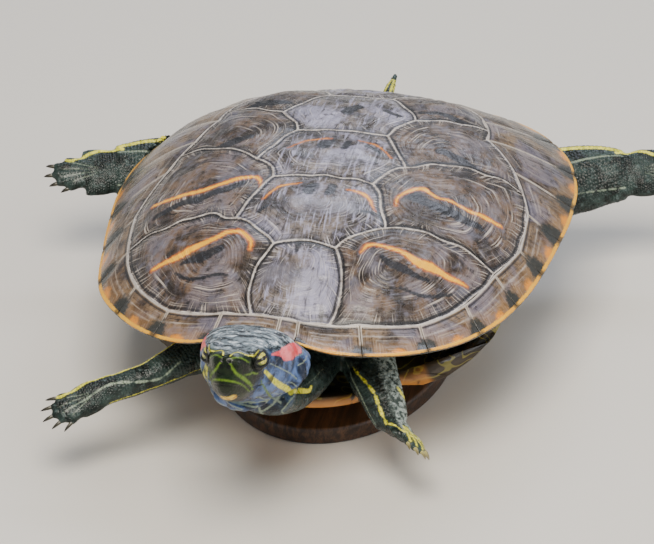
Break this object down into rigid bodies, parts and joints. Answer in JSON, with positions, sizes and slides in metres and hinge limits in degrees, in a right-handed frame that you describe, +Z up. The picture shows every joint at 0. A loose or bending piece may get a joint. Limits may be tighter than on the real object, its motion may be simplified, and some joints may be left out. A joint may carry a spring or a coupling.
{
  "type": "red-eared slider turtle",
  "caption": "Life-size still model of a swimming pond turtle with a plated shell, held level on a small display stand.",
  "frame": {"origin": "middle of the underside of the stand's base", "axes": "the turtle's head points to -Y, its left side to +X, and +Z is up"},
  "size_m": [0.2916, 0.3424, 0.1023],
  "materials": {
    "carapace": "wet horn, brown with pale seams",
    "rim": "wet horn, brown with dark blots and an orange edge",
    "plastron": "wet horn, orange-yellow with dark blots",
    "skin": "wet scaly skin, dark green with yellow stripes",
    "eye": "clear wet cornea over a yellow-green iris",
    "stand_wood": "dark satin hardwood",
    "stand_rod": "brushed brass"
  },
  "bodies": {
    "root": {"vertebral_1": "carapace", "vertebral_2": "carapace", "vertebral_3": "carapace", "vertebral_4": "carapace", "vertebral_5": "carapace", "costal_left_1": "carapace", "costal_left_2": "carapace", "costal_left_3": "carapace", "costal_left_4": "carapace", "costal_right_1": "carapace", "costal_right_2": "carapace", "costal_right_3": "carapace", "costal_right_4": "carapace", "nuchal": "rim", "marginal_left_01": "rim", "marginal_left_02": "rim", "marginal_left_03": "rim", "marginal_left_04": "rim", "marginal_left_05": "rim", "marginal_left_06": "rim", "marginal_left_07": "rim", "marginal_left_08": "rim", "marginal_left_09": "rim", "marginal_left_10": "rim", "marginal_left_11": "rim", "marginal_left_12": "rim", "marginal_right_01": "rim", "marginal_right_02": "rim", "marginal_right_03": "rim", "marginal_right_04": "rim", "marginal_right_05": "rim", "marginal_right_06": "rim", "marginal_right_07": "rim", "marginal_right_08": "rim", "marginal_right_09": "rim", "marginal_right_10": "rim", "marginal_right_11": "rim", "marginal_right_12": "rim", "plastron": "plastron", "trunk": "skin", "neck": "skin", "head": "skin", "lower_jaw": "skin", "tail": "skin", "foreleg_left": "skin", "foreleg_right": "skin", "forefoot_left": "skin", "forefoot_right": "skin", "hindleg_left": "skin", "hindleg_right": "skin", "hindfoot_left": "skin", "hindfoot_right": "skin", "eye_left": "eye", "eye_right": "eye", "stand_base": "stand_wood", "stand_rod_front": "stand_rod", "stand_rod_rear": "stand_rod"}
  },
  "joints": []
}
